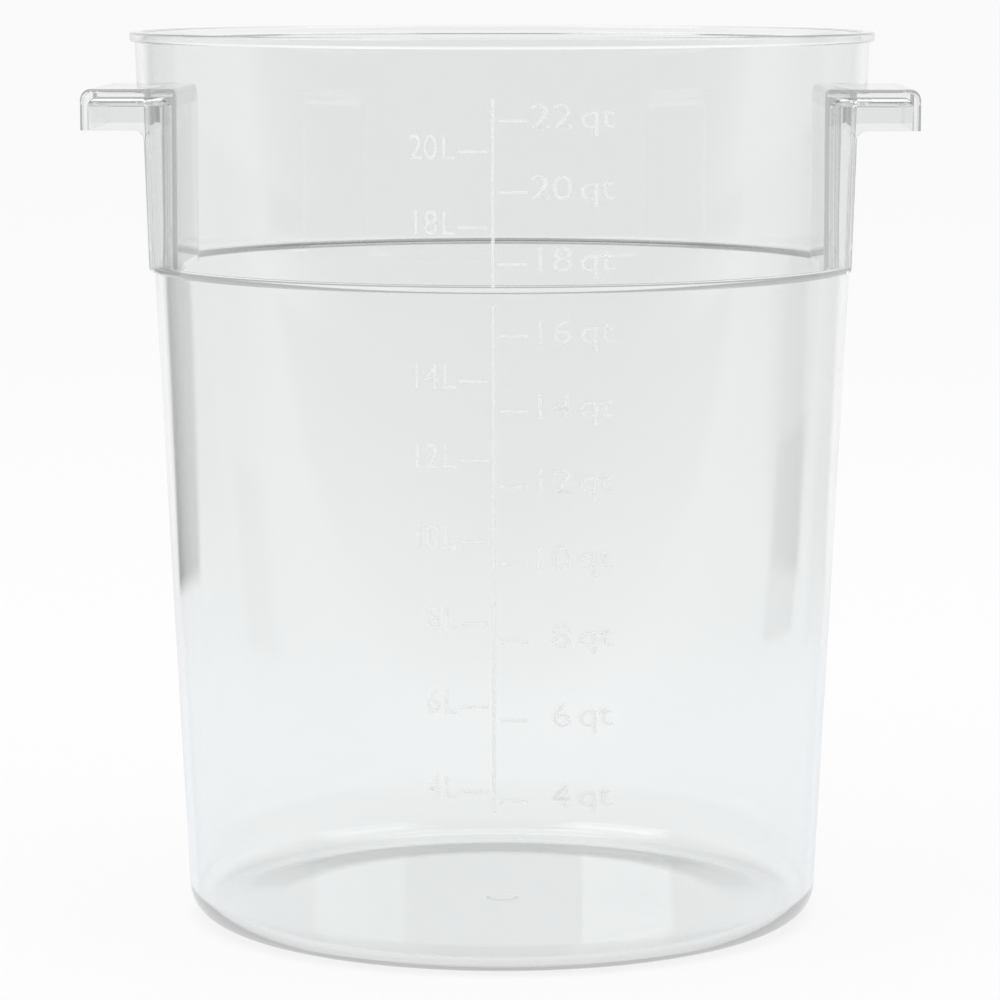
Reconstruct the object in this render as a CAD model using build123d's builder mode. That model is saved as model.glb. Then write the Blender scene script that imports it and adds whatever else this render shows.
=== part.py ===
from build123d import *
import os
from math import degrees, pi, sqrt

# Round dough proofing container: one clear injection moulding, modelled as the features
# that its mould forms. Origin in the middle of the foot, +Z up, handles at left (-X) and
# right (+X), graduations on the front (-Y). Lengths are in millimetres.

# Body: every radius is worked out inward from the rim
overall_height = 376.5  # table to the top of the rim
rim_radius = 157.1
rim_overhang = 2.3  # rim past the top of the collar
collar_taper = 2.9  # growth of the collar's radius, from the ledge to the rim
ledge_step = 4.7  # collar past the lower wall
body_taper = 13.1  # growth of the lower wall's radius, from the table to the ledge
wall = 3.2  # side walls, measured level
base_height = 26.0  # table to the top of the base cup
floor_thickness = 4.2
corner_radius = 12.5  # outside corner between the foot and the wall
inside_chamfer = 5.4  # inside corner between the floor and the wall
foot_ring_width = 15.0  # flat ring that the container stands on
foot_recess = 1.2  # middle of the foot, above the table
gate_radius = 7.0  # round mark where the plastic was fed in
gate_height = 0.6

# Ledge and rim: the step where the container widens, and the flange at its mouth
collar_height = 97.0  # top of the ledge to the top of the rim
ledge_height = 7.0  # whole moulded step
ledge_thickness = 4.0  # the level part alone
ledge_chamfer = 0.8
rim_thickness = 4.3
rim_chamfer = 0.8

# Handles and the finger pockets behind them
pocket_width = 90.0  # over the side walls, which run on into the sides of the handle
pocket_depth = 15.7  # from the outside of the collar's top to the pocket's back wall
pocket_rounding = 5.0  # edges that stand into the container
finger_rounding = 1.8  # hollow corners that fingers meet
handle_drop = 23.2  # rim to the top of the handle
handle_overhang = 16.9  # end of the handle past the rim
handle_skirt = 17.1  # height of the handle, top to the edge of its skirt
handle_plate = 3.4  # top of the handle
handle_wall = 3.0  # end of the skirt
handle_end_rounding = 4.6
handle_edge_rounding = 2.0
gusset_size = 5.0  # web between the skirt and the wall below it

# Graduations, raised on the front: quarts to the right of a spine and litres to its left
quart_side = 98.179  # side of a cube that holds a quart
litre_side = 100.0  # side of a cube that holds a litre
quart_mark_shares = range(4, 23, 2)  # each mark, as a number of quarts
litre_mark_shares = range(4, 21, 2)
scale_relief = 0.4
spine_width = 1.4
spine_overrun = 6.0  # spine above the highest mark and below the lowest
tick_thickness = 1.2
tick_length = 12.5
tick_gap = 1.5  # spine to the start of a tick

overrun = 1.0  # how far a cutting shape passes the face that it cuts

# Levels and radii worked out from these
collar_top_radius = rim_radius - rim_overhang
collar_foot_radius = collar_top_radius - collar_taper
body_top_radius = collar_foot_radius - ledge_step
body_foot_radius = body_top_radius - body_taper
ledge_top = overall_height - collar_height
ledge_foot = ledge_top - ledge_height
step_level = ledge_top - ledge_thickness
rim_foot = overall_height - rim_thickness
handle_top = overall_height - handle_drop
skirt_edge = handle_top - handle_skirt
ceiling = handle_top - handle_plate
pane_outside = collar_top_radius - pocket_depth
pane_inside = pane_outside - wall
finger_width = pocket_width - 2 * wall
handle_reach = rim_radius + handle_overhang


def body_radius(level):
    """Outside radius of the lower wall."""
    return body_foot_radius + (body_top_radius - body_foot_radius) * level / ledge_foot


def collar_radius(level):
    """Outside radius of the collar."""
    rise = (level - ledge_top) / (rim_foot - ledge_top)
    return collar_foot_radius + (collar_top_radius - collar_foot_radius) * rise


# Base cup: floor, foot ring and the rounded corner up into the wall
with BuildPart() as base:
    with BuildSketch(Plane.XZ) as base_profile:
        foot_inner_radius = body_radius(0) - corner_radius - foot_ring_width
        with BuildLine():
            Polyline(
                (0, foot_recess),
                (foot_inner_radius, foot_recess),
                (foot_inner_radius + foot_recess, 0),
                (body_radius(0), 0),
                (body_radius(base_height), base_height),
                (body_radius(base_height) - wall, base_height),
                (body_radius(floor_thickness) - wall, floor_thickness),
                (0, floor_thickness),
                close=True,
            )
        make_face()
        corners = base_profile.vertices()
        fillet(corners.sort_by_distance((body_radius(0), 0))[0], corner_radius)
        corners = base_profile.vertices()
        inside_corner = (body_radius(floor_thickness) - wall, floor_thickness)
        chamfer(corners.sort_by_distance(inside_corner)[0], inside_chamfer)
    revolve(axis=Axis.Z)
    with BuildSketch(Plane.XY.offset(foot_recess)):
        Circle(gate_radius)
    extrude(amount=-gate_height)

# Lower wall: a plain tapered tube
with BuildPart() as lower_wall:
    with BuildSketch(Plane.XZ):
        with BuildLine():
            Polyline(
                (body_radius(base_height) - wall, base_height),
                (body_radius(base_height), base_height),
                (body_radius(ledge_foot), ledge_foot),
                (body_radius(ledge_foot) - wall, ledge_foot),
                close=True,
            )
        make_face()
    revolve(axis=Axis.Z)

# Ledge: the step, with a floor for each finger pocket reaching inward
with BuildPart() as ledge:
    with BuildSketch(Plane.XZ) as ledge_profile:
        with BuildLine():
            Polyline(
                (body_radius(ledge_foot) - wall, ledge_foot),
                (body_radius(ledge_foot), ledge_foot),
                (body_radius(step_level), step_level),
                (collar_radius(step_level), step_level),
                (collar_radius(ledge_top), ledge_top),
                (body_radius(ledge_top) - wall, ledge_top),
                close=True,
            )
        make_face()
        for corner in (
            (body_radius(step_level), step_level),
            (collar_radius(step_level), step_level),
            (body_radius(ledge_top) - wall, ledge_top),
        ):
            chamfer(ledge_profile.vertices().sort_by_distance(corner)[0], ledge_chamfer)
    revolve(axis=Axis.Z)
    with BuildSketch(Plane.XY.offset(step_level)):
        Circle(body_radius(step_level) - wall / 2)
        Rectangle(2 * rim_radius, pocket_width, mode=Mode.INTERSECT)
        Rectangle(2 * pane_inside, pocket_width, mode=Mode.SUBTRACT)
    extrude(amount=ledge_thickness)
    with BuildSketch(Plane.XY.offset(step_level - overrun)):
        Rectangle(2 * rim_radius, finger_width)
        Circle(body_radius(ledge_top), mode=Mode.SUBTRACT)
    extrude(amount=ledge_thickness + 2 * overrun, mode=Mode.SUBTRACT)

# Collar: the wider tube above the ledge, with a window for each finger pocket
with BuildPart() as collar:
    with BuildSketch(Plane.XZ):
        with BuildLine():
            Polyline(
                (collar_radius(ledge_top) - wall, ledge_top),
                (collar_radius(ledge_top), ledge_top),
                (collar_radius(rim_foot), rim_foot),
                (collar_radius(rim_foot) - wall, rim_foot),
                close=True,
            )
        make_face()
    revolve(axis=Axis.Z)
    with BuildSketch(Plane.XY.offset(ledge_top)):
        Rectangle(2 * rim_radius, pocket_width)
    extrude(amount=handle_top - ledge_top, mode=Mode.SUBTRACT)

# Rim: the flange that a lid snaps over
with BuildPart() as rim_flange:
    with BuildSketch(Plane.XZ) as rim_profile:
        with BuildLine():
            Polyline(
                (collar_radius(rim_foot) - wall, rim_foot),
                (rim_radius, rim_foot),
                (rim_radius, overall_height),
                (collar_radius(overall_height) - wall, overall_height),
                close=True,
            )
        make_face()
        for corner in (
            (rim_radius, rim_foot),
            (rim_radius, overall_height),
            (collar_radius(overall_height) - wall, overall_height),
        ):
            chamfer(rim_profile.vertices().sort_by_distance(corner)[0], rim_chamfer)
    revolve(axis=Axis.Z)

# Right finger pocket: back wall, two side walls and a ceiling, set into the collar's window
with BuildPart() as right_pocket:
    with BuildSketch(Plane.XY.offset(ledge_top)):
        with Locations((pane_inside, 0)):
            Rectangle(rim_radius - pane_inside, pocket_width, align=(Align.MIN, Align.CENTER))
    extrude(amount=handle_top - ledge_top)
    back = right_pocket.faces().sort_by(Axis.X)[0]
    floor_edge = back.edges().sort_by(Axis.Z)[0]
    fillet([edge for edge in back.edges() if edge != floor_edge], pocket_rounding)
    with BuildSketch(Plane.XY.offset(ledge_top)):
        with Locations((pane_outside, 0)):
            Rectangle(rim_radius, finger_width, align=(Align.MIN, Align.CENTER))
    extrude(amount=ceiling - ledge_top, mode=Mode.SUBTRACT)
    pane = right_pocket.faces().filter_by(Axis.X).sort_by(Axis.X)[1]
    fillet([edge for edge in pane.edges() if edge.center().Z > ledge_top], finger_rounding)
    with BuildSketch(Plane.XZ):
        with BuildLine():
            Polyline(
                (0, ledge_top),
                (collar_radius(ledge_top), ledge_top),
                (collar_radius(handle_top), handle_top),
                (0, handle_top),
                close=True,
            )
        make_face()
    revolve(axis=Axis.Z, mode=Mode.INTERSECT)

# Right handle: a plate with a skirt on three sides, open below for the fingers
with BuildPart() as right_handle:
    with BuildSketch(Plane.XY.offset(skirt_edge)):
        with Locations((pane_outside, 0)):
            Rectangle(handle_reach - pane_outside, pocket_width, align=(Align.MIN, Align.CENTER))
    extrude(amount=handle_skirt)
    top_edges = right_handle.edges().group_by(Axis.Z)[-1]
    fillet(top_edges.sort_by(Axis.X)[-1], handle_end_rounding)
    end = right_handle.faces().sort_by(Axis.X)[-1]
    side_edges = right_handle.faces().sort_by(Axis.Z)[-1].edges().filter_by(Axis.X)
    fillet(end.edges().filter_by(Axis.Z) + side_edges, handle_edge_rounding)
    with BuildSketch(Plane.XY.offset(skirt_edge)):
        with Locations((pane_outside, 0)):
            Rectangle(
                handle_reach - handle_wall - pane_outside,
                finger_width,
                align=(Align.MIN, Align.CENTER),
            )
    extrude(amount=handle_skirt - handle_plate, mode=Mode.SUBTRACT)
    root = sqrt(collar_radius(skirt_edge) ** 2 - (pocket_width / 2) ** 2)
    for side in (-1, 1):
        with BuildSketch(Plane.XZ.offset(side * (pocket_width - wall) / 2)):
            with BuildLine():
                Line((pane_outside, skirt_edge), (root + gusset_size, skirt_edge))
                RadiusArc(
                    (root + gusset_size, skirt_edge), (root, skirt_edge - gusset_size), gusset_size
                )
                Line((root, skirt_edge - gusset_size), (pane_outside, skirt_edge - gusset_size))
                Line((pane_outside, skirt_edge - gusset_size), (pane_outside, skirt_edge))
            make_face()
        extrude(amount=wall / 2, both=True)
    with BuildSketch(Plane.XZ):
        with BuildLine():
            Polyline(
                (0, ledge_top),
                (collar_radius(ledge_top), ledge_top),
                (collar_radius(overall_height), overall_height),
                (0, overall_height),
                close=True,
            )
        make_face()
    revolve(axis=Axis.Z, mode=Mode.SUBTRACT)

with BuildPart() as left_pocket:
    mirror(right_pocket.part, about=Plane.YZ)

with BuildPart() as left_handle:
    mirror(right_handle.part, about=Plane.YZ)


# Graduations: the height of each mark follows from what the container holds below it
def tapered_volume(low_radius, high_radius, height):
    """Volume of a tapered round space."""
    return pi * height * (low_radius**2 + low_radius * high_radius + high_radius**2) / 3


def held_volume(level):
    """Volume held up to a level, less the two pockets that stand into the collar."""
    low_top = min(level, ledge_top)
    held = tapered_volume(
        body_radius(floor_thickness) - wall, body_radius(low_top) - wall, low_top - floor_thickness
    )
    if level > ledge_top:
        inside = collar_radius(level) - wall
        held += tapered_volume(collar_radius(ledge_top) - wall, inside, level - ledge_top)
        chord = sqrt(inside**2 - (pocket_width / 2) ** 2)
        bulge = (inside - chord) * 2 / 3
        held -= 2 * pocket_width * (chord - pane_inside + bulge) * (level - ledge_top)
    return held


def mark_level(volume):
    """Level up to which the container holds a volume, found by halving."""
    low, high = floor_thickness, overall_height
    while high - low > scale_relief / 100:
        middle = (low + high) / 2
        if held_volume(middle) < volume:
            low = middle
        else:
            high = middle
    return low


def outside_radius(level):
    """Outside radius of the wall that carries the graduations."""
    return body_radius(level) if level < ledge_top else collar_radius(level)


def mark_levels(side, counts):
    """Levels of the marks that fit on the walls, clear of the base, the ledge and the rim."""
    levels = [mark_level(count * side**3) for count in counts]
    margin = spine_overrun
    on_body = [level for level in levels if base_height + margin < level < ledge_foot - margin]
    on_collar = [level for level in levels if ledge_top + margin < level < rim_foot - margin]
    return on_body + on_collar


def raise_patch(low, high, start, length):
    """Raise a patch on the wall between two levels, from a distance right of the middle."""
    radius = outside_radius((low + high) / 2)
    turn = Rotation(0, 0, degrees(start / radius) - 90)
    with BuildSketch(Plane(turn * Location(Plane.XZ))) as patch:
        with BuildLine():
            Polyline(
                (outside_radius(low), low),
                (outside_radius(low) + scale_relief, low),
                (outside_radius(high) + scale_relief, high),
                (outside_radius(high), high),
                close=True,
            )
        make_face()
    revolve(patch.sketch, axis=Axis.Z, revolution_arc=degrees(length / radius))


quart_levels = mark_levels(quart_side, quart_mark_shares)
litre_levels = mark_levels(litre_side, litre_mark_shares)
tick_start = spine_width / 2 + tick_gap

with BuildPart() as quart_ticks:
    for level in quart_levels:
        low, high = level - tick_thickness / 2, level + tick_thickness / 2
        raise_patch(low, high, tick_start, tick_length)

with BuildPart() as litre_ticks:
    for level in litre_levels:
        low, high = level - tick_thickness / 2, level + tick_thickness / 2
        raise_patch(low, high, -tick_start - tick_length, tick_length)

with BuildPart() as scale_spine:
    lowest = min(quart_levels + litre_levels) - spine_overrun
    highest = max(quart_levels + litre_levels) + spine_overrun
    raise_patch(lowest, ledge_foot, -spine_width / 2, spine_width)
    raise_patch(ledge_top, highest, -spine_width / 2, spine_width)

os.makedirs("parts", exist_ok=True)
for name, piece in (
    ("base", base),
    ("lower_wall", lower_wall),
    ("ledge", ledge),
    ("collar", collar),
    ("rim_flange", rim_flange),
    ("right_pocket", right_pocket),
    ("left_pocket", left_pocket),
    ("right_handle", right_handle),
    ("left_handle", left_handle),
    ("scale_spine", scale_spine),
    ("quart_ticks", quart_ticks),
    ("litre_ticks", litre_ticks),
):
    piece.part.label = name
    export_step(piece.part, f"parts/{name}.step")
print("quart levels", [round(level, 1) for level in quart_levels])
print("litre levels", [round(level, 1) for level in litre_levels])
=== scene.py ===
from math import acos, asin, atan2, cos, hypot, pi, radians, sin, sqrt, tan

import bpy
import bmesh
import numpy as np
from mathutils import Matrix, Vector


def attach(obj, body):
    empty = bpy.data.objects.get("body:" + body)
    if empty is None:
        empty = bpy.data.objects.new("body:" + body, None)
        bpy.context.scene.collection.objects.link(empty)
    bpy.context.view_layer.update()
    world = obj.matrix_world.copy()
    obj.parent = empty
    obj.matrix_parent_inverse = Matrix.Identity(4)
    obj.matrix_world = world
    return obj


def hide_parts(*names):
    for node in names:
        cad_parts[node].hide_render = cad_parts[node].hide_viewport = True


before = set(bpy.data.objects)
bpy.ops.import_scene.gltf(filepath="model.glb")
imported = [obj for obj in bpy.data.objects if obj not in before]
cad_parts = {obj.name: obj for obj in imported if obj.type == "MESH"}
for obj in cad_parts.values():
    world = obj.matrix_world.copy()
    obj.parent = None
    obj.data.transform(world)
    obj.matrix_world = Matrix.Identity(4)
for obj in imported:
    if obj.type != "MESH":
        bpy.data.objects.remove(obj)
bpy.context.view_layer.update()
scene = bpy.context.scene
scene.view_settings.view_transform = "Standard"
millimetre = 0.001
print("frame loaded,", len(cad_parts), "nodes")


# shader building

class Wire:
    # a node's output: Python's signs add Math nodes, | takes the larger and & the smaller
    def __init__(self, tree, socket):
        self.tree, self.socket = tree, socket

    # another output of the same node
    def also(self, name):
        return Wire(self.tree, self.socket.node.outputs[name])

    def __add__(self, other):
        return self.tree.maths("ADD", self, other)

    def __radd__(self, other):
        return self.tree.maths("ADD", other, self)

    def __sub__(self, other):
        return self.tree.maths("SUBTRACT", self, other)

    def __rsub__(self, other):
        return self.tree.maths("SUBTRACT", other, self)

    def __mul__(self, other):
        return self.tree.maths("MULTIPLY", self, other)

    def __rmul__(self, other):
        return self.tree.maths("MULTIPLY", other, self)

    def __truediv__(self, other):
        return self.tree.maths("DIVIDE", self, other)

    def __rtruediv__(self, other):
        return self.tree.maths("DIVIDE", other, self)

    def __or__(self, other):
        return self.tree.maths("MAXIMUM", self, other)

    def __ror__(self, other):
        return self.tree.maths("MAXIMUM", other, self)

    def __and__(self, other):
        return self.tree.maths("MINIMUM", self, other)

    def __rand__(self, other):
        return self.tree.maths("MINIMUM", other, self)

    def __gt__(self, other):
        return self.tree.maths("GREATER_THAN", self, other)

    def __lt__(self, other):
        return self.tree.maths("LESS_THAN", self, other)

    def __abs__(self):
        return self.tree.maths("ABSOLUTE", self, 0)


class ShaderTree:
    def __init__(self, owner):
        owner.use_nodes = True
        self.tree = owner.node_tree
        self.tree.nodes.clear()

    # one node: its settings go in first, then the values or links of its sockets
    def add(self, kind, settings=None, sockets=None, output=0):
        node = self.tree.nodes.new("ShaderNode" + kind)
        for name, value in (settings or {}).items():
            if name == "stops":
                ramp = node.color_ramp.elements
                while len(ramp) < len(value):
                    ramp.new(0.5)
                for element, (position, colour) in zip(ramp, value):
                    element.position = position
                    element.color = colour
            else:
                setattr(node, name, value)
        for name, value in (sockets or {}).items():
            if isinstance(value, Wire):
                self.tree.links.new(value.socket, node.inputs[name])
            else:
                node.inputs[name].default_value = value
        return Wire(self, node.outputs[output]) if node.outputs else None

    def maths(self, operation, first, second):
        return self.add("Math", {"operation": operation}, {0: first, 1: second})

    # the first colour where the share is 0, the second one where it is 1
    def mix(self, share, first, second):
        return self.add("Mix", {"data_type": "RGBA"}, {0: share, 6: first, 7: second}, 2)

    # 0 below the lower value, 1 above the upper one and smooth between them
    def step(self, value, low, high):
        settings = {"interpolation_type": "SMOOTHSTEP"}
        return self.add("MapRange", settings, {"Value": value, "From Min": low, "From Max": high})


# mesh building: every shape is worked out in millimetres, and scaled as it is made

samePoint = 1e-7  # metres within which points of a new mesh count as one
sameAfterCarving = 2e-6
shortestEdge = 1e-6


def meshPiece(name, points, faces):
    data = bpy.data.meshes.new(name)
    data.from_pydata([tuple(float(v) * millimetre for v in p) for p in points], [], faces)
    data.validate()
    tidy = bmesh.new()
    tidy.from_mesh(data)
    bmesh.ops.remove_doubles(tidy, verts=tidy.verts, dist=samePoint)
    bmesh.ops.recalc_face_normals(tidy, faces=tidy.faces)
    tidy.to_mesh(data)
    tidy.free()
    piece = bpy.data.objects.new(name, data)
    scene.collection.objects.link(piece)
    return piece


def arc(centreX, centreY, radius, first, last, steps):
    return [
        (centreX + radius * cos(first + (last - first) * step / steps),
         centreY + radius * sin(first + (last - first) * step / steps))
        for step in range(steps + 1)
    ]


# a path of (radius, height, rounding) corners as closely spaced points
def roundedPath(corners, arcSteps, runLength):
    path = [corners[0][:2]]
    for before, corner, after in zip(corners, corners[1:], corners[2:]):
        here = Vector(corner[:2])
        rounding = corner[2]
        if rounding <= 0:
            path.append(tuple(here))
            continue
        back = (Vector(before[:2]) - here).normalized()
        ahead = (Vector(after[:2]) - here).normalized()
        half = back.angle(ahead) / 2
        reach = rounding / tan(half)
        centre = here + (back + ahead).normalized() * (rounding / sin(half))
        start, end = here + back * reach, here + ahead * reach
        first = atan2(start.y - centre.y, start.x - centre.x)
        turn = atan2(end.y - centre.y, end.x - centre.x) - first
        turn = (turn + pi) % (2 * pi) - pi
        for step in range(arcSteps + 1):
            angle = first + turn * step / arcSteps
            path.append((centre.x + rounding * cos(angle), centre.y + rounding * sin(angle)))
    path.append(corners[-1][:2])
    dense = [path[0]]
    for point in path[1:]:
        last = dense[-1]
        run, rise = point[0] - last[0], point[1] - last[1]
        parts = max(1, round(hypot(run, rise) / runLength))
        for part in range(1, parts + 1):
            share = part / parts
            dense.append((last[0] + run * share, last[1] + rise * share))
    return dense


def lathe(name, path, segments):
    points, rings = [], []
    for radius, height in path:
        if radius < 1e-6:  # on the axis
            rings.append([len(points)])
            points.append((0, 0, height))
            continue
        rings.append(list(range(len(points), len(points) + segments)))
        for step in range(segments):
            angle = 2 * pi * step / segments
            points.append((radius * cos(angle), radius * sin(angle), height))
    faces = []
    for low, high in zip(rings, rings[1:]):
        for step in range(segments):
            ahead = (step + 1) % segments
            around = ((low, step), (low, ahead), (high, ahead), (high, step))
            corners = [ring[place % len(ring)] for ring, place in around]
            faces.append(list(dict.fromkeys(corners)))
    return meshPiece(name, points, faces)


# rings of matched points joined into a closed solid
def loft(name, rings):
    points = [p for ring in rings for p in ring]
    count = len(rings[0])
    faces = []
    for level in range(len(rings) - 1):
        for step in range(count):
            ahead = (step + 1) % count
            base = level * count
            faces.append((base + step, base + ahead, base + count + ahead, base + count + step))
    faces.append(list(range(count))[::-1])
    faces.append([(len(rings) - 1) * count + step for step in range(count)])
    return meshPiece(name, points, faces)


# a solid whose outline is asked for at every level, with how far it is drawn in there
def stack(name, plan, levels):
    return loft(name, [[(x, y, level) for x, y in plan(level, inset)] for level, inset in levels])


# places along a solid up to its rounded end, each with how far the outline is drawn in:
# at the very end that is the rounding, less a little so that the outline keeps its size
def roundedEnd(end, rounding, short, steps):
    angles = [pi / 2 * step / steps for step in range(steps + 1)]
    return [
        (end - rounding + rounding * sin(angle), (rounding - short) * (1 - cos(angle)))
        for angle in angles
    ]


def mirrored(piece):
    twin = piece.copy()
    twin.data = piece.data.copy()
    twin.data.transform(Matrix.Scale(-1, 4, (1, 0, 0)))
    twin.data.flip_normals()
    scene.collection.objects.link(twin)
    return twin


# what a piece's modifiers make of its mesh
def finishedMesh(piece):
    bpy.context.view_layer.update()
    ready = piece.evaluated_get(bpy.context.evaluated_depsgraph_get())
    return bpy.data.meshes.new_from_object(ready)


def carve(target, tools, operation):
    for tool in tools:
        change = target.modifiers.new("carve", "BOOLEAN")
        change.operation = operation
        change.solver = "MANIFOLD"
        change.object = tool
        result = finishedMesh(target)
        target.modifiers.clear()
        old = target.data
        target.data = result
        bpy.data.meshes.remove(old)
        bpy.data.objects.remove(tool)


def smoothNormals(piece, angle):
    data = piece.data
    tidy = bmesh.new()
    tidy.from_mesh(data)
    bmesh.ops.remove_doubles(tidy, verts=tidy.verts, dist=sameAfterCarving)
    bmesh.ops.dissolve_degenerate(tidy, edges=tidy.edges, dist=shortestEdge)
    bmesh.ops.recalc_face_normals(tidy, faces=tidy.faces)
    loose = sum(1 for e in tidy.edges if len(e.link_faces) != 2)
    print(piece.name, "edges without two faces:", loose)
    tidy.to_mesh(data)
    tidy.free()
    data.shade_smooth()
    data.set_sharp_from_angle(angle=radians(angle))
    weigh = piece.modifiers.new("weigh", "WEIGHTED_NORMAL")
    weigh.keep_sharp = True
    weigh.weight = 50
    result = finishedMesh(piece)
    piece.modifiers.clear()
    piece.data = result


# the moulding in millimetres: floor, wall, ledge, collar and rim as one clear shell
body = {
    "height": 376.5,
    "wall": 3.2,
    "floor": 4.2,
    "footRadius": 134.1,
    "bodyTopRadius": 147.2,
    "cornerRounding": 12.5,
    "footRing": 15.0,
    "footRecess": 0.6,
    "rampInside": 13.0,  # the recess runs out in a ramp from inside the foot ring's edge
    "rampOutside": 10.0,  # to some way under the ring
    "rampRounding": 380.0,
    "gateRadius": 7.0,
    "gateHeight": 0.3,
    "gateSlope": 1.5,
    "gateRounding": 0.9,
    "ledgeTop": 279.5,
    "ledgeFoot": 272.5,
    "ledgeThickness": 2.8,
    "ledgeRounding": 0.9,
    "ledgeHollow": 1.2,
    "stepRounding": 2.6,
    "collarFootRadius": 151.9,
    "collarTopRadius": 154.8,
    "rimRadius": 157.08,
    "rimThickness": 4.3,
    "rimRounding": 1.2,
    "segments": 384,
    "arcSteps": 8,
    "runLength": 12.0,
    "sharpAngle": 32.0,  # degrees, past which an edge stays sharp
}
rimFoot = body["height"] - body["rimThickness"]
stepLevel = body["ledgeTop"] - body["ledgeThickness"]


def bodyRadius(level):
    widening = body["bodyTopRadius"] - body["footRadius"]
    return body["footRadius"] + widening * level / body["ledgeFoot"]


def collarRadius(level):
    rise = (level - body["ledgeTop"]) / (rimFoot - body["ledgeTop"])
    return body["collarFootRadius"] + (body["collarTopRadius"] - body["collarFootRadius"]) * rise


def outsideRadius(level):
    return bodyRadius(level) if level < body["ledgeTop"] else collarRadius(level)


def plainShell():
    wall, floor, height, ledgeTop = (body[k] for k in ("wall", "floor", "height", "ledgeTop"))
    ringInside = body["footRadius"] - body["cornerRounding"] - body["footRing"]
    gateLevel = body["footRecess"] - body["gateHeight"]
    corners = [
        (0, gateLevel, 0),
        (body["gateRadius"] - body["gateSlope"], gateLevel, body["gateRounding"]),
        (body["gateRadius"], body["footRecess"], body["gateRounding"]),
        (ringInside - body["rampInside"], body["footRecess"], body["rampRounding"]),
        (ringInside + body["rampOutside"], 0, body["rampRounding"]),
        (body["footRadius"], 0, body["cornerRounding"]),
        (bodyRadius(stepLevel), stepLevel, 0),
        (collarRadius(stepLevel), stepLevel, body["stepRounding"]),
        (body["collarTopRadius"], rimFoot, 0),
        (body["rimRadius"], rimFoot, body["rimRounding"]),
        (body["rimRadius"], height, body["rimRounding"]),
        (collarRadius(height) - wall, height, body["rimRounding"]),
        (collarRadius(ledgeTop) - wall, ledgeTop, body["ledgeHollow"]),
        (bodyRadius(ledgeTop) - wall, ledgeTop, body["ledgeRounding"]),
        (bodyRadius(floor) - wall, floor, body["cornerRounding"] - wall),
        (0, floor, 0),
    ]
    path = roundedPath(corners, body["arcSteps"], body["runLength"])
    return lathe("containerShell", path, body["segments"])


# a finger pocket and its handle, right-hand side, in millimetres
pocket = {
    "halfWidth": 45.0,
    "wall": 3.2,
    "paneOutside": 136.9,  # from the axis to the pane's face on the finger side
    "bumpRounding": 7.4,
    "topRounding": 2.4,
    "topShort": 0.05,
    "fingerRounding": 4.2,
    "mouthRounding": 1.0,
    "leastRounding": 0.05,
    "neckRounding": 2.5,
    "neckRoundingBelow": 0.4,  # below the top of the ledge, where the bump is out of sight
    "root": 1.9,  # how far the bump reaches into the wall behind it
    "rootBelow": 1.4,
    "changeOver": 0.05,  # height in which the bump goes from the body's wall to the collar's
    "handleTop": 353.3,
    "handlePlate": 3.4,
    "handleReach": 174.0,
    "handleWall": 3.0,
    "handleRoot": 1.6,
    "handleFoot": 2.0,
    "skirtEdge": 336.2,
    "endRounding": 4.6,
    "edgeRounding": 2.0,
    "edgeShort": 0.02,
    "gusset": 5.0,
    "lipStart": 0.05,
    "lipReach": 5.0,
    "lipBelow": 0.5,
    "lipAbove": 0.7,
    "bumpShares": (0.25, 0.5, 0.75),  # of the height, where more rings go in
    "fingerShares": (0.3, 0.6),
    "arcSteps": 8,
    "neckSteps": 6,
    "edgeSteps": 6,
    "mouthSteps": 5,
    "wallSteps": 14,
    "handleSteps": 18,
}


def halfToWhole(half):
    return half + [(x, -y) for x, y in reversed(half)]


# levels between the ledge and the start of a rounded top, where nothing is drawn in
def between(shares, top):
    return [(body["ledgeTop"] + share * (top - body["ledgeTop"]), 0) for share in shares]


# plan of the bump that the pocket makes inside the container: a flat pane whose rounded
# corners run into the round wall with a hollow of their own
def bumpPlan(level, inset):
    onCollar = level >= body["ledgeTop"]
    neck = pocket["neckRounding" if onCollar else "neckRoundingBelow"]
    inner = outsideRadius(level) - body["wall"]
    buried = inner + pocket["root" if onCollar else "rootBelow"]
    rounding = max(pocket["bumpRounding"] - inset, pocket["leastRounding"])
    cornerX = pocket["paneOutside"] - pocket["wall"] + inset + rounding
    cornerY = pocket["halfWidth"] - inset - rounding
    # the hollow touches the corner's circle and the wall's
    away = hypot(cornerX, cornerY)
    reach = inner - neck
    lean = acos((away**2 + reach**2 - (rounding + neck) ** 2) / (2 * away * reach))
    neckAngle = atan2(cornerY, cornerX) + lean
    neckX, neckY = reach * cos(neckAngle), reach * sin(neckAngle)
    meet = atan2(neckY - cornerY, neckX - cornerX)
    half = arc(cornerX, cornerY, rounding, pi, meet, pocket["arcSteps"])
    half += arc(neckX, neckY, neck, meet - pi, neckAngle, pocket["neckSteps"])
    # and back inside the wall
    steps = pocket["wallSteps"]
    angles = [neckAngle * (1 - step / steps) for step in range(steps)]
    half += [(buried * cos(angle), buried * sin(angle)) for angle in angles]
    return halfToWhole(half)


def bumpSolid():
    ledgeTop, top, rounding = body["ledgeTop"], pocket["handleTop"], pocket["topRounding"]
    levels = [(stepLevel, 0), (ledgeTop - pocket["changeOver"], 0), (ledgeTop, 0)]
    levels += between(pocket["bumpShares"], top - rounding)
    levels += roundedEnd(top, rounding, pocket["topShort"], pocket["arcSteps"])
    return stack("bump", bumpPlan, levels)


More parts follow.
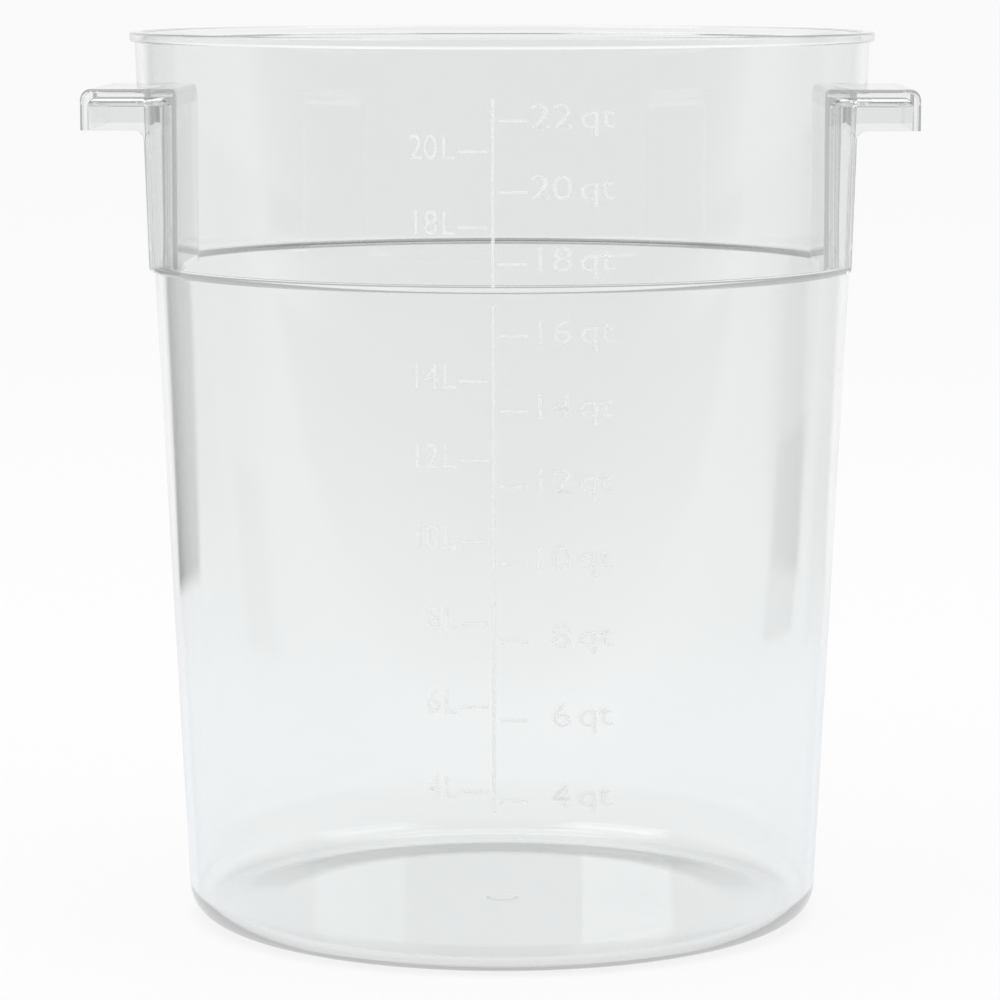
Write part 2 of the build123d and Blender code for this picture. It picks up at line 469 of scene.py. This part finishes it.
# side view of the handle at one distance from its middle, from the wall out and back
def handleOutline(across, inset):
    top = pocket["handleTop"] - inset
    end = pocket["handleReach"] - inset
    rounding = max(pocket["endRounding"] - inset, pocket["leastRounding"])
    edge, gusset, steps = pocket["skirtEdge"], pocket["gusset"], pocket["arcSteps"]

    def insideWall(level):
        return (sqrt((collarRadius(level) - pocket["handleRoot"]) ** 2 - across**2), level)

    wallFace = sqrt(collarRadius(edge) ** 2 - pocket["halfWidth"] ** 2)
    outline = [insideWall(edge - gusset - pocket["handleFoot"])]
    outline += arc(wallFace + gusset, edge - gusset, gusset, pi, pi / 2, steps)
    outline += [(end, edge)]
    outline += arc(end - rounding, top - rounding, rounding, 0, pi / 2, steps)
    outline += [insideWall(top), insideWall(edge)]
    return outline


def handleSolid():
    half, rounding = pocket["halfWidth"], pocket["edgeRounding"]
    right = roundedEnd(half, rounding, pocket["edgeShort"], pocket["edgeSteps"])
    left = [(-across, inset) for across, inset in reversed(right)]
    middle = np.linspace(-half + rounding, half - rounding, pocket["handleSteps"])[1:-1]
    stations = left + [(across, 0) for across in middle] + right
    rings = [
        [(x, across, z) for x, z in handleOutline(across, inset)] for across, inset in stations
    ]
    return loft("handle", rings)


# plan of the space for the fingers, with the rounded mouth below the skirt
def fingerPlan(level, inset):
    side = pocket["halfWidth"] - pocket["wall"] - inset
    end = pocket["handleReach"] - pocket["handleWall"] - inset
    rounding = max(pocket["fingerRounding"] - inset, pocket["leastRounding"])
    mouth = pocket["mouthRounding"]
    paneCorner = pocket["paneOutside"] + inset + rounding
    half = arc(paneCorner, side - rounding, rounding, pi, pi / 2, pocket["arcSteps"])
    half += arc(end - mouth, side - mouth, mouth, pi / 2, 0, pocket["mouthSteps"])
    return halfToWhole(half)


def fingerSpace():
    ceiling = pocket["handleTop"] - pocket["handlePlate"]
    rounding = pocket["fingerRounding"]
    levels = [(body["ledgeTop"], 0)]
    levels += between(pocket["fingerShares"], ceiling - rounding)
    levels += roundedEnd(ceiling, rounding, pocket["edgeShort"], pocket["edgeSteps"])
    return stack("fingerSpace", fingerPlan, levels)


# what is cut from the lip of the ledge below the fingers
def lipCut():
    side = pocket["halfWidth"] - pocket["wall"]
    radius = bodyRadius(body["ledgeTop"]) + pocket["lipStart"]
    angles = np.linspace(0, asin(side / radius), pocket["wallSteps"])
    half = [(radius * cos(angle), radius * sin(angle)) for angle in angles]
    half += [(body["collarFootRadius"] + pocket["lipReach"], side)]
    plan = [(x, -y) for x, y in reversed(half)] + half[1:]
    low, high = body["ledgeFoot"] + pocket["lipBelow"], body["ledgeTop"] + pocket["lipAbove"]
    return loft("lipCut", [[(x, y, level) for x, y in plan] for level in (low, high)])


shell = plainShell()
print("plain shell made,", len(shell.data.polygons), "faces")
for makeSolid, operation in (
    (bumpSolid, "UNION"),
    (handleSolid, "UNION"),
    (fingerSpace, "DIFFERENCE"),
    (lipCut, "DIFFERENCE"),
):
    right = makeSolid()
    carve(shell, [mirrored(right), right], operation)
    print(makeSolid.__name__, "done,", len(shell.data.polygons), "faces")

smoothNormals(shell, body["sharpAngle"])
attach(shell, "root")
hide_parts("base", "lower_wall", "ledge", "collar", "rim_flange",
            "right_pocket", "left_pocket", "right_handle", "left_handle")

# raised graduations on the front, in millimetres: quarts to the right of the spine and
# litres to its left, each at the level where the container holds that much
scale = {
    "relief": 0.1,
    "gap": 0.02,  # between the wall and the back of the marks
    "edgeSlope": 0.08,
    "spineWidth": 1.4,
    "spineBelow": 4.5,
    "spineAbove": 8.5,
    "ledgeMargin": 6.0,  # marks that would fall this close to the ledge are left out
    "tickThickness": 1.2,
    "tickLength": 11.4,
    "tickGap": 1.5,
    "quart": 98.179,  # side of a cube that holds a quart
    "litre": 100.0,
    "quartMarks": range(4, 23, 2),
    "litreMarks": range(4, 21, 2),
    "levelStep": 0.004,  # how closely a mark's level is worked out
    "letterHeight": 10.2,
    "letterShare": 0.729,  # height of a capital, as a share of the font's size
    "letterStretch": 1.25,
    "litreStretch": 0.85,
    "letterRaise": 2.2,
    "quartNumberEnd": 31.0,
    "quartWordStart": 34.4,
    "litreWordEnd": 14.9,
    "litreNumberEnd": 21.8,
    "columnWidth": 1.5,  # of the patches that a bar is made of
    "rowHeight": 8.0,
}


def taperedVolume(lowRadius, highRadius, height):
    return pi * height * (lowRadius**2 + lowRadius * highRadius + highRadius**2) / 3


# the space inside up to a level, less the two pockets
def heldVolume(level):
    wall, floor, ledgeTop = body["wall"], body["floor"], body["ledgeTop"]
    lowTop = min(level, ledgeTop)
    held = taperedVolume(bodyRadius(floor) - wall, bodyRadius(lowTop) - wall, lowTop - floor)
    if level > ledgeTop:
        inside = collarRadius(level) - wall
        held += taperedVolume(collarRadius(ledgeTop) - wall, inside, level - ledgeTop)
        chord = sqrt(inside**2 - pocket["halfWidth"] ** 2)
        depth = chord - (pocket["paneOutside"] - wall) + (inside - chord) * 2 / 3
        held -= 4 * pocket["halfWidth"] * depth * (level - ledgeTop)
    return held


def markLevels(side, counts):
    levels = {}
    for count in counts:
        low, high = body["floor"], body["height"]
        while high - low > scale["levelStep"]:
            middle = (low + high) / 2
            if heldVolume(middle) < count * side**3:
                low = middle
            else:
                high = middle
        margin = scale["ledgeMargin"]
        if not body["ledgeFoot"] - margin < low < body["ledgeTop"] + margin:
            levels[count] = low
    return levels


class ScaleMesh:
    # gathers raised patches on the front wall, given by distances across and up it
    def __init__(self):
        self.points, self.faces = [], []

    def onWall(self, across, level, out):
        radius = outsideRadius(level)
        angle = across / radius
        far = radius + out
        return (far * sin(angle), -far * cos(angle), level)

    def bar(self, left, right, low, high):
        columns = max(1, round((right - left) / scale["columnWidth"]))
        rows = max(1, round((high - low) / scale["rowHeight"]))
        start = len(self.points)
        for out, shrink in ((scale["gap"], 0), (scale["relief"], scale["edgeSlope"])):
            for row in range(rows + 1):
                level = low + shrink + (high - low - 2 * shrink) * row / rows
                for column in range(columns + 1):
                    across = left + shrink + (right - left - 2 * shrink) * column / columns
                    self.points.append(self.onWall(across, level, out))
        wide = columns + 1
        layer = wide * (rows + 1)
        for row in range(rows):
            for column in range(columns):
                corner = start + row * wide + column
                back = (corner, corner + wide, corner + wide + 1, corner + 1)
                self.faces.append(back)
                self.faces.append(tuple(k + layer for k in reversed(back)))
        border = list(range(columns))
        border += [columns + row * wide for row in range(rows)]
        border += [rows * wide + column for column in range(columns, 0, -1)]
        border += [row * wide for row in range(rows, 0, -1)]
        for here, ahead in zip(border, border[1:] + border[:1]):
            edge = (here, ahead, ahead + layer, here + layer)
            self.faces.append(tuple(start + k for k in edge))

    def word(self, text, edge, level, toTheLeft, stretch):
        curve = bpy.data.curves.new("word", "FONT")
        curve.body = text
        curve.extrude = 0.5  # only tells the front from the back
        curve.resolution_u = 4
        holder = bpy.data.objects.new("word", curve)
        scene.collection.objects.link(holder)
        flat = finishedMesh(holder)
        tall = scale["letterHeight"] / scale["letterShare"]
        wide = tall * stretch
        reach = [v.co.x * wide for v in flat.vertices]
        shift = edge - (max(reach) if toTheLeft else min(reach))
        start = len(self.points)
        low = level + scale["letterRaise"] - scale["letterHeight"] / 2
        for vertex in flat.vertices:
            across, up = vertex.co.x * wide + shift, low + vertex.co.y * tall
            out = scale["gap"] if vertex.co.z < 0 else scale["relief"]
            self.points.append(self.onWall(across, up, out))
        self.faces += [tuple(start + k for k in face.vertices) for face in flat.polygons]
        bpy.data.objects.remove(holder)
        bpy.data.curves.remove(curve)
        bpy.data.meshes.remove(flat)

    def finish(self, name, node):
        piece = meshPiece(name, self.points, self.faces)
        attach(piece, "root")
        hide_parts(node)
        return piece


quartLevels = markLevels(scale["quart"], scale["quartMarks"])
litreLevels = markLevels(scale["litre"], scale["litreMarks"])
halfSpine, halfTick = scale["spineWidth"] / 2, scale["tickThickness"] / 2
tickStart = halfSpine + scale["tickGap"]
tickEnd = tickStart + scale["tickLength"]

quartMesh = ScaleMesh()
for count, level in quartLevels.items():
    quartMesh.bar(tickStart, tickEnd, level - halfTick, level + halfTick)
    quartMesh.word(str(count), scale["quartNumberEnd"], level, True, scale["letterStretch"])
    quartMesh.word("qt", scale["quartWordStart"], level, False, scale["letterStretch"])
quartScale = quartMesh.finish("quartScale", "quart_ticks")

litreMesh = ScaleMesh()
for count, level in litreLevels.items():
    litreMesh.bar(-tickEnd, -tickStart, level - halfTick, level + halfTick)
    litreMesh.word("L", -scale["litreWordEnd"], level, True, scale["litreStretch"])
    litreMesh.word(str(count), -scale["litreNumberEnd"], level, True, scale["litreStretch"])
litreScale = litreMesh.finish("litreScale", "litre_ticks")

spineMesh = ScaleMesh()
allLevels = [*quartLevels.values(), *litreLevels.values()]
spineFoot, spineTop = min(allLevels) - scale["spineBelow"], max(allLevels) + scale["spineAbove"]
spineMesh.bar(-halfSpine, halfSpine, spineFoot, body["ledgeFoot"])
spineMesh.bar(-halfSpine, halfSpine, body["ledgeTop"], spineTop)
scaleSpine = spineMesh.finish("scaleSpine", "scale_spine")
print("scale made,", len(quartLevels), "quart marks,", len(litreLevels), "litre marks")

# clear polycarbonate
plastic = {
    "tint": (0.922, 0.936, 0.932, 1),
    "paleTint": (0.944, 0.954, 0.952, 1),
    "index": 1.585,
    "roughness": 0.012,
    "haze": 0.02,
    "hazeSize": 81.0,
    "flowSize": 9.0,
    "ripple": 0.00012,
    "longPath": 9.5,  # surfaces after which a ray only brings painted light, an even glow in the plastic's tint
    "manyMirrors": 3.5,  # and the same for times mirrored
    "paintedGlow": 0.5,
}


def clearPlastic():
    material = bpy.data.materials.new("clearPolycarbonate")
    tree = ShaderTree(material)
    place = tree.add("TexCoord", output="Object")
    flow = tree.add("TexNoise", {}, {"Vector": place, "Scale": plastic["flowSize"], "Detail": 2.0})
    fine = tree.add("TexNoise", {}, {"Vector": place, "Scale": plastic["hazeSize"], "Detail": 3.0})
    bump = tree.add("Bump", {}, {"Height": flow, "Strength": 1.0, "Distance": plastic["ripple"]})
    surface = tree.add("BsdfPrincipled", {}, {
        "Base Color": tree.mix(flow, plastic["tint"], plastic["paleTint"]),
        "Roughness": plastic["roughness"] + fine * plastic["haze"],
        "Normal": bump,
        "IOR": plastic["index"],
        "Transmission Weight": 1.0,
    })
    # painted light: a ray that has crossed or been mirrored many times gets an even glow in the
    # plastic's tint in place of the light of further bounces
    depth = tree.add("LightPath", output="Ray Depth")
    mirrorings = depth.also("Glossy Depth")
    paintedGlowMask = (depth > plastic["longPath"]) | (mirrorings > plastic["manyMirrors"])
    paintedGlow = tree.add("Emission", {}, {"Color": plastic["tint"], "Strength": plastic["paintedGlow"]})
    mixed = tree.add("MixShader", {}, {0: paintedGlowMask, 1: surface, 2: paintedGlow})
    tree.add("OutputMaterial", {}, {"Surface": mixed})
    return material


# the raised marks: a thin frost that lets some of the wall show
frost = {
    "colour": (0.83, 0.845, 0.84, 1),
    "paleColour": (0.86, 0.875, 0.87, 1),
    "grainSize": 400.0,
    "roughness": 0.6,
    "roughnessChange": 0.2,
    "thinnest": 0.5,
    "thicknessChange": 0.12,
}


def frostedMarks():
    material = bpy.data.materials.new("frostedMarks")
    tree = ShaderTree(material)
    place = tree.add("TexCoord", output="Object")
    grain = tree.add("TexNoise", {}, {"Vector": place, "Scale": frost["grainSize"], "Detail": 2.0})
    surface = tree.add("BsdfPrincipled", {}, {
        "Base Color": tree.mix(grain, frost["colour"], frost["paleColour"]),
        "Roughness": frost["roughness"] + grain * frost["roughnessChange"],
        "Alpha": frost["thinnest"] + grain * frost["thicknessChange"],
    })
    tree.add("OutputMaterial", {}, {"Surface": surface})
    return material


shell.data.materials.clear()
shell.data.materials.append(clearPlastic())
marks = frostedMarks()
for piece in (quartScale, litreScale, scaleSpine):
    piece.data.materials.append(marks)
print("materials made")

# studio in metres: a white floor, a pale room and large soft lamps. The camera sees white;
# the plastic mirrors the other tones, and shows some of them through several walls
white = (1, 1, 1, 1)
studio = {
    "floorRadius": 40.0,
    "floorSides": 96,
    "floorDrop": 0.0003,
    "floorColour": (0.93, 0.93, 0.93, 1),
    "backgroundShare": 0.9,
    "nearPaper": (0.95, 0.97, 1.0, 1),  # what the plastic mirrors of the floor close by
    "sidePaper": (0.80, 0.80, 0.80, 1),  # further off
    "sideStart": 0.5,
    "sideEnd": 1.3,
    "frontPaper": (0.38, 0.38, 0.39, 1),  # and in front, where the paper ends
    "frontStart": 0.5,
    "frontEnd": 1.4,
    "whiteBehind": (0.5, 0.6),  # how far to the side the white behind the container reaches
    "seenPaper": (0.98, 0.98, 0.98, 1),  # the paper seen through the plastic
    "underShade": (0.93, 0.93, 0.93, 1),  # painted shadow on the paper that the foot covers, seen through the plastic and mirrored
    "mirroredFootShadow": (0.85, 0.86, 0.86, 1),
    "footShadowEdge": (0.128, 0.138),
    "gapShade": (0.22, 0.22, 0.22, 1),  # painted shade to both sides of the backdrop, seen through walls
    "gapStart": (0.15, 0.18),  # shares to the side between which the painted shade begins
    "gapEnd": (0.95, 0.985),
    "gapSurfaces": 5.5,  # surfaces that a ray has to cross to see the painted shade
    "roomLight": 0.75,
    "roomTurn": (-0.7, 0.1),  # where the room in front gives way to the room behind
    "deepSurfaces": 3.5,  # surfaces that a ray has to cross to see the room's darker part
}
# the dark flats behind the lamps, mirrored from the back half of the floor: the shares to
# the side between which each one stands, the distances, and how softly it begins and ends
flats = {
    "left": {"turn": -1, "start": 0.58, "end": 0.85, "colour": (0.10, 0.10, 0.10, 1)},
    "right": {"turn": 1, "start": 0.86, "end": 0.97, "colour": (0.45, 0.45, 0.45, 1)},
    "sideSoftness": (0.04, 0.03),
    "near": 0.85,
    "far": 2.7,
    "depthSoftness": (0.1, 0.5),
    "fade": 0.7,
}
# tones of the room by height, as the sine of the angle above the horizon
roomTones = {
    "front": ((0.0, (0.45, 0.45, 0.45, 1)), (0.6, (0.30, 0.30, 0.30, 1))),
    "back": ((0.28, (0.95, 0.95, 0.95, 1)), (0.6, (0.16, 0.16, 0.16, 1))),
    "through": (
        (0.05, (1.0, 1.0, 1.0, 1)), (0.30, (0.12, 0.12, 0.12, 1)),
        (0.40, (0.12, 0.12, 0.12, 1)), (0.60, (0.90, 0.90, 0.90, 1)),
    ),
}
lamps = {
    "keyLamp": {"place": (-2.1, -1.7, 2.1), "side": 2.4, "power": 34.0},
    "fillLamp": {"place": (2.4, -1.3, 1.9), "side": 2.4, "power": 22.0},
    "topLamp": {"place": (0.0, 0.5, 3.0), "side": 2.6, "power": 24.0},
}
lampAim = (0, 0, 0.2)


# painted shade beside the backdrop, for rays that have crossed several surfaces
def sideGap(tree, across, rays):
    share = abs(across)
    gap = tree.step(share, *studio["gapStart"]) * (1 - tree.step(share, *studio["gapEnd"]))
    return gap * (rays.also("Transmission Depth") > studio["gapSurfaces"])


def floorPaper():
    material = bpy.data.materials.new("floorPaper")
    tree = ShaderTree(material)
    rays = tree.add("LightPath", output="Is Camera Ray")
    seen = rays | rays.also("Is Transmission Ray") | rays.also("Is Glossy Ray")
    place = tree.add("TexCoord", output="Object")
    distance = tree.add("VectorMath", {"operation": "LENGTH"}, {0: place}, "Value")
    axes = tree.add("SeparateXYZ", {}, {0: place}, "X")
    across = axes / distance
    ahead = 0 - axes.also("Y")
    backHalf = ahead < 0
    # painted shadow: the paper under the foot is darker, as seen through and mirrored by the
    # plastic
    under = 1 - tree.step(distance, *studio["footShadowEdge"])

    aside = tree.step(distance, studio["sideStart"], studio["sideEnd"])
    front = tree.step(ahead, studio["frontStart"], studio["frontEnd"])
    behind = (1 - tree.step(abs(across), *studio["whiteBehind"])) * backHalf * aside
    reflection = tree.mix(aside, studio["nearPaper"], studio["sidePaper"])
    reflection = tree.mix(front, reflection, studio["frontPaper"])
    reflection = tree.mix(behind, reflection, white)
    nearSoft, farSoft = flats["depthSoftness"]
    beyond = tree.step(distance, flats["near"], flats["near"] + nearSoft)
    past = tree.step(distance, flats["far"], flats["far"] + farSoft)
    beyond = beyond * (1 - past * flats["fade"])
    startSoft, endSoft = flats["sideSoftness"]
    for flat in (flats["left"], flats["right"]):
        side = across * flat["turn"]
        mask = tree.step(side, flat["start"], flat["start"] + startSoft)
        mask = mask * (1 - tree.step(side, flat["end"], flat["end"] + endSoft))
        reflection = tree.mix(mask * beyond * backHalf, reflection, flat["colour"])
    # painted shadow under the foot, in what the plastic mirrors
    reflection = tree.mix(under, reflection, studio["mirroredFootShadow"])

    # painted shadow under the foot, in what is seen through the plastic
    through = tree.mix(under, studio["seenPaper"], studio["underShade"])
    # painted shade beside the backdrop, for rays that have crossed several walls
    through = tree.mix(sideGap(tree, across, rays), through, studio["gapShade"])
    colour = tree.mix(rays.also("Glossy Depth") & 1, through, reflection)
    paper = tree.add("BsdfDiffuse", {}, {"Color": studio["floorColour"]})
    paintedGlow = tree.add("Emission", {}, {"Color": colour, "Strength": 1.0})
    share = seen * studio["backgroundShare"]
    mixed = tree.add("MixShader", {}, {0: share, 1: paper, 2: paintedGlow})
    tree.add("OutputMaterial", {}, {"Surface": mixed})
    return material


def makeFloor():
    radius, sides = studio["floorRadius"], studio["floorSides"]
    angles = [2 * pi * side / sides for side in range(sides)]
    points = [(radius * cos(a), radius * sin(a), -studio["floorDrop"]) for a in angles]
    data = bpy.data.meshes.new("floor")
    data.from_pydata(points, [], [list(range(sides))])
    data.materials.append(floorPaper())
    floor = bpy.data.objects.new("floor", data)
    scene.collection.objects.link(floor)


def makeRoom():
    world = bpy.data.worlds.new("room")
    scene.world = world
    tree = ShaderTree(world)
    rays = tree.add("LightPath", output="Is Camera Ray")
    seen = rays.also("Is Transmission Ray") | rays.also("Is Glossy Ray")
    direction = tree.add("TexCoord", output="Generated")
    height = tree.add("SeparateXYZ", {}, {0: direction}, "Z")
    front, back, above = (
        tree.add("ValToRGB", {"stops": roomTones[part]}, {0: height})
        for part in ("front", "back", "through")
    )
    behind = tree.step(height.also("Y"), *studio["roomTurn"])
    reflection = tree.mix(behind, front, back)
    deep = rays.also("Transmission Depth") > studio["deepSurfaces"]
    through = tree.mix(deep, white, above)
    # painted shade beside the backdrop, for rays that have crossed several walls
    gap = sideGap(tree, height.also("X"), rays)
    through = tree.mix(gap, through, studio["gapShade"])
    colour = tree.mix(rays.also("Glossy Depth") & 1, through, reflection)
    light = tree.add("Background", {}, {"Color": white, "Strength": studio["roomLight"]})
    room = tree.add("Background", {}, {"Color": colour, "Strength": 1.0})
    backdrop = tree.add("Background", {}, {"Color": white, "Strength": 1.0})
    mixed = tree.add("MixShader", {}, {0: seen, 1: light, 2: room})
    mixed = tree.add("MixShader", {}, {0: rays, 1: mixed, 2: backdrop})
    tree.add("OutputWorld", {}, {"Surface": mixed})


def makeLamps():
    for name, lamp in lamps.items():
        data = bpy.data.lights.new(name, "AREA")
        data.shape = "SQUARE"
        data.size = lamp["side"]
        data.energy = lamp["power"]
        light = bpy.data.objects.new(name, data)
        light.location = lamp["place"]
        aim = Vector(lampAim) - light.location
        light.rotation_euler = aim.to_track_quat("-Z", "Y").to_euler()
        scene.collection.objects.link(light)


makeFloor()
makeRoom()
makeLamps()
print("studio made")

# the photograph's viewpoint, in millimetres and degrees
view = {
    "distance": 1827.3,
    "height": 409.45,
    "turn": 1.35,
    "tilt": 7.26,
    "lens": 154.8,
    "sensor": 36.0,
    "shift": -0.0021,
}
cameraData = bpy.data.cameras.new("camera")
cameraData.lens = view["lens"]
cameraData.sensor_width = view["sensor"]
cameraData.shift_x = view["shift"]
cameraData.clip_start = 0.05
cameraData.clip_end = 200
camera = bpy.data.objects.new("camera", cameraData)
turn = radians(view["turn"])
camera.location = (
    view["distance"] * sin(turn) * millimetre,
    -view["distance"] * cos(turn) * millimetre,
    view["height"] * millimetre,
)
camera.rotation_euler = (radians(90 - view["tilt"]), 0, turn)
scene.collection.objects.link(camera)
scene.camera = camera
